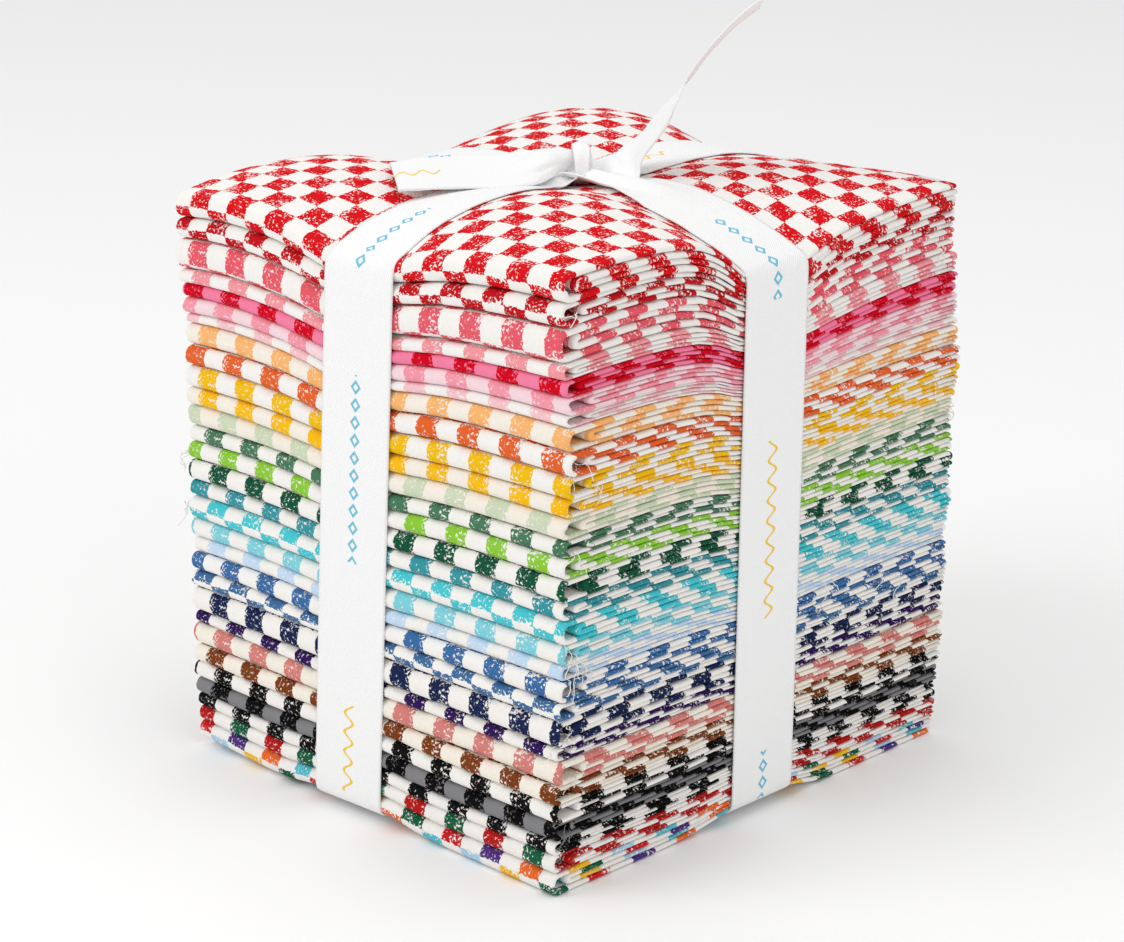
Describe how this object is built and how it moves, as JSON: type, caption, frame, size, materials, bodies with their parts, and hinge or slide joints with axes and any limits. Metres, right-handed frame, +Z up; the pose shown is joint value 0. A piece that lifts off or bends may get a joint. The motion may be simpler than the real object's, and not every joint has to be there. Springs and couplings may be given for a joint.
{
  "type": "fat quarter bundle",
  "caption": "Stack of folded cotton fat quarters in a rainbow of two-colour checks, tied both ways with a flat white ribbon knotted on top.",
  "frame": {"origin": "middle of the stack's footprint, on the surface it lies on", "axes": "+Z up; -Y towards the side with one rounded fold for each cut; +X towards the side with the folded edges in rows"},
  "size_m": [0.1272, 0.1406, 0.1875],
  "materials": {
    "cotton_red": "matt woven cotton, printed check",
    "cotton_deep_red": "matt woven cotton, printed check",
    "cotton_coral_pink": "matt woven cotton, printed check",
    "cotton_light_coral": "matt woven cotton, printed check",
    "cotton_hot_pink": "matt woven cotton, printed check",
    "cotton_mid_pink": "matt woven cotton, printed check",
    "cotton_pale_pink": "matt woven cotton, printed check",
    "cotton_peach": "matt woven cotton, printed check",
    "cotton_orange": "matt woven cotton, printed check",
    "cotton_golden_yellow": "matt woven cotton, printed check",
    "cotton_warm_yellow": "matt woven cotton, printed check",
    "cotton_sage": "matt woven cotton, printed check",
    "cotton_grey_green": "matt woven cotton, printed check",
    "cotton_lime": "matt woven cotton, printed check",
    "cotton_dark_green": "matt woven cotton, printed check",
    "cotton_teal": "matt woven cotton, printed check",
    "cotton_turquoise": "matt woven cotton, printed check",
    "cotton_aqua": "matt woven cotton, printed check",
    "cotton_ice_blue": "matt woven cotton, printed check",
    "cotton_blue": "matt woven cotton, printed check",
    "cotton_denim_blue": "matt woven cotton, printed check",
    "cotton_navy": "matt woven cotton, printed check",
    "cotton_purple": "matt woven cotton, printed check",
    "cotton_dusty_coral": "matt woven cotton, printed check",
    "cotton_brown": "matt woven cotton, printed check",
    "cotton_black": "matt woven cotton, printed check",
    "cotton_charcoal": "matt woven cotton, printed check",
    "cotton_ink": "matt woven cotton, printed check",
    "cotton_red_green": "matt woven cotton, printed check",
    "cotton_rainbow": "matt woven cotton, printed check",
    "ribbon": "soft satin twill"
  },
  "bodies": {
    "root": {"fat_quarter_01_red": "cotton_red", "fat_quarter_02_deep_red": "cotton_deep_red", "fat_quarter_03_coral_pink": "cotton_coral_pink", "fat_quarter_04_light_coral": "cotton_light_coral", "fat_quarter_05_hot_pink": "cotton_hot_pink", "fat_quarter_06_mid_pink": "cotton_mid_pink", "fat_quarter_07_pale_pink": "cotton_pale_pink", "fat_quarter_08_peach": "cotton_peach", "fat_quarter_09_orange": "cotton_orange", "fat_quarter_10_golden_yellow": "cotton_golden_yellow", "fat_quarter_11_warm_yellow": "cotton_warm_yellow", "fat_quarter_12_sage": "cotton_sage", "fat_quarter_13_grey_green": "cotton_grey_green", "fat_quarter_14_lime": "cotton_lime", "fat_quarter_15_dark_green": "cotton_dark_green", "fat_quarter_16_teal": "cotton_teal", "fat_quarter_17_turquoise": "cotton_turquoise", "fat_quarter_18_aqua": "cotton_aqua", "fat_quarter_19_ice_blue": "cotton_ice_blue", "fat_quarter_20_blue": "cotton_blue", "fat_quarter_21_denim_blue": "cotton_denim_blue", "fat_quarter_22_navy": "cotton_navy", "fat_quarter_23_purple": "cotton_purple", "fat_quarter_24_dusty_coral": "cotton_dusty_coral", "fat_quarter_25_brown": "cotton_brown", "fat_quarter_26_black": "cotton_black", "fat_quarter_27_charcoal": "cotton_charcoal", "fat_quarter_28_ink": "cotton_ink", "fat_quarter_29_red_green": "cotton_red_green", "fat_quarter_30_rainbow": "cotton_rainbow", "ribbon_lengthwise": "ribbon", "ribbon_crosswise": "ribbon", "ribbon_knot": "ribbon", "ribbon_tail_left": "ribbon", "ribbon_tail_up": "ribbon"}
  },
  "joints": []
}
